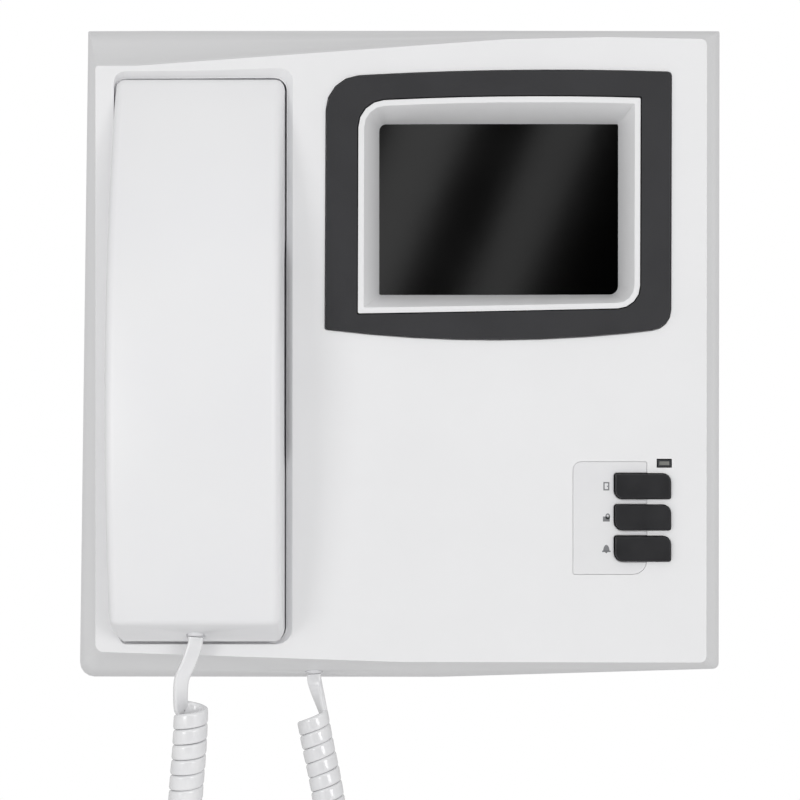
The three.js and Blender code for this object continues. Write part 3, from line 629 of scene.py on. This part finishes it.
@dataclass
class CurlyCord:
    """A flat handset cord, wound into a coil that hangs in a loop below the case.

    Routes are [x, y, z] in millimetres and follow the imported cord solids.
    """

    wire_width: float = 4.75
    wire_thickness: float = 2.3
    coil_diameter: float = 11.0
    pitch: float = 5.0
    points_per_turn: int = 20
    route_steps: int = 24
    lead_steps: int = 8
    section_sides: int = 12
    across_power: float = 0.35
    through_power: float = 0.6
    handset_lead: tuple = ((-65, -52, -91.4), (-65.3, -52, -94), (-67.2, -52, -99.5), (-69.6, -52, -105.5))
    base_lead: tuple = ((-27.9, -8.2, -115.9), (-29, -8.2, -111.6), (-29.2, -8.2, -109.1))
    coil_route: tuple = (
        (-66.4, -52, -111.5), (-67, -52, -126), (-68.4, -51, -143), (-69.8, -49, -165), (-70, -46, -189),
        (-66, -42, -212), (-58, -36, -227), (-46.5, -30, -233), (-34, -24, -229), (-25, -18, -214),
        (-21, -13.5, -193), (-21.6, -10.8, -170), (-24.8, -9.4, -148), (-27.9, -8.6, -133),
        (-30.2, -8.2, -121.2))

    def _helix(self) -> tuple[list[Vector], list[Vector]]:
        """Wind the wire round the coil's route.

        Returns:
            The wire's points and the outward direction of the coil at each.
        """
        axis = smooth_route(self.coil_route, self.route_steps)
        lengths = [0.0]
        for first, second in zip(axis, axis[1:]):
            lengths.append(lengths[-1] + (second - first).length)
        turns = round(lengths[-1] / self.pitch)
        count = turns * self.points_per_turn
        radius = (self.coil_diameter - self.wire_thickness) / 2
        wire, outward = [], []
        side, place = Vector((-1, 0, 0)), 0
        margin = 0.5 * self.wire_width
        for step in range(count + 1):
            target = margin + (lengths[-1] - 2 * margin) * step / count
            while lengths[place + 1] < target:
                place += 1
            share = (target - lengths[place]) / (lengths[place + 1] - lengths[place])
            centre = axis[place].lerp(axis[place + 1], share)
            along = (axis[place + 1] - axis[place]).normalized()
            side = (side - along * side.dot(along)).normalized()
            angle = 2 * math.pi * turns * step / count
            spoke = side * math.cos(angle) + along.cross(side) * math.sin(angle)
            wire.append(centre + spoke * radius)
            outward.append(spoke)
        return wire, outward

    def _centreline(self) -> tuple[list[Vector], list[Vector]]:
        """Join the leads to the coil.

        Returns:
            The whole wire's points and the direction of its thin side at each.
        """
        wire, outward = self._helix()
        skip = self.points_per_turn // 10  # a tenth of a turn makes room for each lead's bend
        flat = Vector((0, 1, 0))
        knots = [*map(Vector, self.handset_lead), *wire[skip:-skip], *map(Vector, self.base_lead)]
        facing = [flat] * len(self.handset_lead) + outward[skip:-skip] + [flat] * len(self.base_lead)
        head, tail = len(self.handset_lead) + 1, len(self.base_lead) + 1
        start = smooth_route(knots[:head + 2], self.lead_steps)[:self.lead_steps * head]
        end = smooth_route(knots[-tail - 2:], self.lead_steps)[self.lead_steps:]
        points = start + knots[head:-tail - 1] + end
        start_facing = self._turned(facing[0], facing[head], len(start))
        end_facing = self._turned(facing[-tail - 1], facing[-1], len(end))
        return points, start_facing + facing[head:-tail - 1] + end_facing

    @staticmethod
    def _turned(first: Vector, last: Vector, count: int) -> list[Vector]:
        """Turn gently from one direction to another.

        Args:
            first: Direction at the start.
            last: Direction at the end.
            count: Number of directions.

        Returns:
            The directions.
        """
        turned = []
        for step in range(count):
            t = step / max(count - 1, 1)
            turned.append(first.lerp(last, t * t * (3 - 2 * t)).normalized())
        return turned

    def _section(self) -> list[tuple[float, float]]:
        """Draw the wire's flat section with round edges.

        Returns:
            Its corners as [across, through]. A lower power makes an edge squarer.
        """
        corners = []
        for step in range(self.section_sides):
            angle = 2 * math.pi * (step + 0.5) / self.section_sides
            across = math.copysign(abs(math.cos(angle)) ** self.across_power, math.cos(angle))
            through = math.copysign(abs(math.sin(angle)) ** self.through_power, math.sin(angle))
            corners.append((across * self.wire_width / 2, through * self.wire_thickness / 2))
        return corners

    def build(self, palette: Palette) -> None:
        """Args:
            palette: Materials.
        """
        points, facing = self._centreline()
        section = self._section()
        sides = len(section)
        vertices, faces = [], []
        for i, spot in enumerate(points):
            along = (points[min(i + 1, len(points) - 1)] - points[max(i - 1, 0)]).normalized()
            width = along.cross(facing[i]).normalized()
            thin = width.cross(along)
            vertices += [(spot + width * a + thin * b) * MM for a, b in section]
        for i in range(len(points) - 1):
            for k in range(sides):
                near, far = i * sides, (i + 1) * sides
                faces.append((near + k, near + (k + 1) % sides, far + (k + 1) % sides, far + k))
        faces.append(tuple(reversed(range(sides))))
        faces.append(tuple(range(len(vertices) - sides, len(vertices))))
        mesh = bpy.data.meshes.new("curly_cord")
        mesh.from_pydata(vertices, [], faces)
        piece = bpy.data.objects.new("curly_cord", mesh)
        bpy.context.scene.collection.objects.link(piece)
        self._unwrap(mesh, points, sides)
        finish_mesh(piece, angle_deg=60)
        palette.dress(piece, CORD_VINYL)
        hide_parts("cord_handset_lead", "cord_coil", "cord_base_lead")
        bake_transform(piece)

    @staticmethod
    def _unwrap(mesh: bpy.types.Mesh, points: Sequence[Vector], sides: int) -> None:
        """Lay a UV map along the wire: U runs round it and V counts millimetres along it.

        Args:
            mesh: The wire's mesh, made of one ring of corners for each point.
            points: Points along the wire.
            sides: Number of corners in a ring.
        """
        lengths = [0.0]
        for first, second in zip(points, points[1:]):
            lengths.append(lengths[-1] + (second - first).length)
        layer = mesh.uv_layers.new(name=WIRE_MAP)
        for polygon in mesh.polygons:
            for loop in polygon.loop_indices:
                ring, corner = divmod(mesh.loops[loop].vertex_index, sides)
                layer.data[loop].uv = (corner / sides, lengths[ring])


# ------------------------------------------------------------------ sub-assemblies


@dataclass
class Case:
    """The moulded front shell and rear tray, with their screws and the cord's bush."""

    edge_radius: float = 0.7
    tray_radius: float = 0.4
    bush_radius: float = 0.5

    def build(self, palette: Palette) -> None:
        """Round the shells' edges and dress them.

        Args:
            palette: Materials.
        """
        front = softened_copy("front_housing", "front_shell", self.edge_radius)
        palette.dress(front, CASE_WHITE)
        settle(front, Body.BASE)
        tray = softened_copy("rear_housing", "rear_tray", self.tray_radius)
        palette.dress(tray, CASE_WHITE)
        settle(tray, Body.BASE)
        for number in range(1, 5):
            palette.dress(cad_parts[f"case_screw_{number}"], PLATED_STEEL)
        bush = softened_copy("base_cord_bush", "case_bush", self.bush_radius)
        palette.dress(bush, BUSH_VINYL)
        settle(bush, Body.BASE)


@dataclass
class Screen:
    """The frame, the surround, the window and the picture tube behind it."""

    bezel_radius: float = 0.6
    mask_radius: float = 0.5
    window_radius: float = 0.3

    def build(self, palette: Palette) -> None:
        """Round the visible pieces and dress all of them.

        Args:
            palette: Materials.
        """
        bezel = softened_copy("bezel_frame", "screen_bezel", self.bezel_radius)
        palette.dress(bezel, BEZEL_CHARCOAL)
        settle(bezel, Body.BASE)
        mask = softened_copy("screen_mask", "screen_surround", self.mask_radius)
        palette.dress(mask, CASE_WHITE)
        settle(mask, Body.BASE)
        window = softened_copy("screen_window", "smoked_window", self.window_radius)
        palette.dress(window, SMOKED_ACRYLIC)
        settle(window, Body.BASE)
        palette.dress(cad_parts["picture_tube"], TUBE_GLASS)
        palette.dress(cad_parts["deflection_yoke"], COPPER_WINDING)
        palette.dress(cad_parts["tube_frame"], DARK_PLASTIC)
        palette.dress(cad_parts["tube_socket_board"], CIRCUIT_BOARD)


@dataclass
class Keys:
    """The push buttons with their switches, the legend plate and the pilot lamp."""

    cap_radius: float = 0.5
    plate_radius: float = 0.1
    lamp_radius: float = 0.15
    lamp_rim: float = 0.4
    lamp_depth: float = 0.15

    def build(self, palette: Palette) -> None:
        """Round the caps and dress every piece.

        Args:
            palette: Materials.
        """
        bodies = (Body.VIEW_KEY, Body.UNLOCK_KEY, Body.ALARM_KEY)
        for node, body in zip(("view_button", "unlock_button", "alarm_button"), bodies):
            cap = softened_copy(node, f"{node}_cap", self.cap_radius)
            palette.dress(cap, BUTTON_BLACK)
            settle(cap, body)
        plate = softened_copy("label_plate", "legend_plate", self.plate_radius, segments=2)
        palette.dress(plate, LEGEND_FILM)
        settle(plate, Body.BASE)
        self._lamp_window(palette)
        palette.dress(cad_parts["pilot_lamp"], LENS_GREY)
        palette.dress(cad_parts["key_board"], CIRCUIT_BOARD)
        for number in range(1, 4):
            palette.dress(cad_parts[f"key_switch_{number}"], DARK_PLASTIC)

    def _lamp_window(self, palette: Palette) -> None:
        """Sink the lamp's lens a little into a dark rim.

        Args:
            palette: Materials.
        """
        lens = softened_copy("lamp_lens", "lamp_window", self.lamp_radius, segments=2)
        activate(lens)
        for polygon in lens.data.polygons:
            polygon.select = polygon.normal.y < FACING
        bpy.ops.object.mode_set(mode="EDIT")
        bpy.ops.mesh.select_mode(type="FACE")
        bpy.ops.mesh.inset(thickness=self.lamp_rim * MM)
        bpy.ops.transform.translate(value=(0, self.lamp_depth * MM, 0))
        bpy.ops.object.mode_set(mode="OBJECT")
        palette.dress(lens, LENS_GREY, DARK_PLASTIC)
        for polygon in lens.data.polygons:
            polygon.material_index = 0 if polygon.select else 1
        settle(lens, Body.BASE)


@dataclass
class Legend:
    """Three small printed signs on the legend plate: a door, an open padlock and a bell."""

    centre: float = 66.4
    heights: tuple[float, float, float] = (-43.75, -53.8, -63.85)
    out: float = 44.95
    ink: float = 0.06
    line: float = 0.4

    def _mark(self, sides: int, place: Sequence[float], size: Sequence[float], hollow: bool = False,
              upper_half: bool = False) -> bpy.types.Object:
        """Print one plain shape.

        Args:
            sides: Four for a box, more for a round.
            place: Middle of the shape from the legend's own middle line, and its height.
            size: Width and height.
            hollow: Leave only a line round the shape.
            upper_half: Keep only what lies above the middle.

        Returns:
            The shape, with its place in its mesh.
        """
        boxed = sides == 4
        radius = (math.sqrt(0.5) if boxed else 0.5) * MM
        deselect()
        bpy.ops.mesh.primitive_circle_add(vertices=sides, radius=radius, fill_type="NGON")
        mark = bpy.context.object
        mark.rotation_euler = (0, 0, math.pi / 4 if boxed else 0)
        bpy.ops.object.transform_apply(location=False, rotation=True, scale=False)
        mark.scale = (*size, 1)
        bpy.ops.object.transform_apply(location=False, rotation=False, scale=True)
        mark.rotation_euler = (math.pi / 2, 0, 0)
        mark.location = ((self.centre + place[0]) * MM, -(self.out + self.ink) * MM, place[1] * MM)
        bpy.ops.object.transform_apply(location=True, rotation=True, scale=False)
        bpy.ops.object.mode_set(mode="EDIT")
        bpy.ops.mesh.select_mode(type="FACE")
        bpy.ops.mesh.select_all(action="SELECT")
        if upper_half:
            middle = (0, 0, place[1] * MM)
            bpy.ops.mesh.bisect(plane_co=middle, plane_no=(0, 0, 1), clear_inner=True, use_fill=False)
            bpy.ops.mesh.select_all(action="SELECT")
        if hollow:
            bpy.ops.mesh.inset(thickness=self.line * MM)
            bpy.ops.mesh.delete(type="FACE")
            bpy.ops.mesh.select_all(action="SELECT")
        bpy.ops.mesh.extrude_region_move(TRANSFORM_OT_translate={"value": (0, self.ink * MM, 0)})
        bpy.ops.object.mode_set(mode="OBJECT")
        return mark

    def build(self, palette: Palette) -> None:
        """Print the three signs as one layer of ink.

        Args:
            palette: Materials.
        """
        door, lock, bell = self.heights
        marks = [
            self._mark(4, (0, door), (1.9, 2.7), hollow=True),
            self._mark(12, (0.35, door), (0.4, 0.4)),
            self._mark(4, (0, lock - 0.5), (2.2, 1.6)),
            self._mark(20, (0.45, lock + 0.35), (1.5, 1.9), hollow=True),
            self._mark(20, (0, bell - 0.7), (2.0, 3.9), upper_half=True),
            self._mark(4, (0, bell - 0.85), (2.7, 0.45)),
            self._mark(12, (0, bell - 1.2), (0.7, 0.5)),
        ]
        deselect()
        for mark in marks:
            mark.select_set(True)
        bpy.context.view_layer.objects.active = marks[0]
        bpy.ops.object.join()
        signs = bpy.context.object
        signs.name = "legend_signs"
        finish_mesh(signs, angle_deg=30)
        palette.dress(signs, LEGEND_INK)
        settle(signs, Body.BASE)


@dataclass
class Handset:
    """The two handset shells and what they hold."""

    edge_radius: float = 0.5
    bush_radius: float = 0.5
    crease_deg: float = 35.0

    def build(self, palette: Palette) -> None:
        """Round the shells' edges and dress every piece.

        Args:
            palette: Materials.
        """
        for node, name in (("handset_front_shell", "handset_outer"), ("handset_back_shell", "handset_inner")):
            shell = softened_copy(node, name, self.edge_radius, segments=2, angle_deg=self.crease_deg)
            palette.dress(shell, HANDSET_WHITE)
            settle(shell, Body.HANDSET)
        bush = softened_copy("handset_cord_bush", "handset_bush", self.bush_radius)
        palette.dress(bush, BUSH_VINYL)
        settle(bush, Body.HANDSET)
        for node in ("handset_screw_1", "handset_screw_2", "ballast_weight"):
            palette.dress(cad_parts[node], PLATED_STEEL)
        for node in ("earpiece_capsule", "microphone_capsule"):
            palette.dress(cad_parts[node], DARK_PLASTIC)


@dataclass
class Electronics:
    """The boards and parts inside the case, and the hook switch under the cradle."""

    dark_parts: tuple[str, ...] = (
        "line_transformer", "capacitor_1", "capacitor_2", "capacitor_3", "terminal_block", "call_speaker",
        "hook_switch", "hook_plunger")

    def build(self, palette: Palette) -> None:
        """Dress every inner piece.

        Args:
            palette: Materials.
        """
        for node in self.dark_parts:
            palette.dress(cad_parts[node], DARK_PLASTIC)
        palette.dress(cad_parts["main_board"], CIRCUIT_BOARD)
        palette.dress(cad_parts["heat_sink"], DRAWN_ALUMINIUM)
        palette.dress(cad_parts["hook_spring"], PLATED_STEEL)


@dataclass
class WallMount:
    """The pressed steel bracket that the case hangs on."""

    edge_radius: float = 0.2

    def build(self, palette: Palette) -> None:
        """Round the bracket's cut edges and dress it.

        Args:
            palette: Materials.
        """
        bracket = softened_copy("wall_bracket", "steel_bracket", self.edge_radius, segments=2)
        palette.dress(bracket, PLATED_STEEL)
        settle(bracket, Body.BASE)


def main() -> None:
    """Build the studio, the cord and every sub-assembly in order."""
    logging.basicConfig(level=logging.INFO, format="%(message)s")
    Studio().build()
    palette = Palette(FINISHES)
    CurlyCord().build(palette)
    for assembly in (Case(), Screen(), Keys(), Legend(), Handset(), Electronics(), WallMount()):
        assembly.build(palette)


if __name__ == "__main__":
    main()
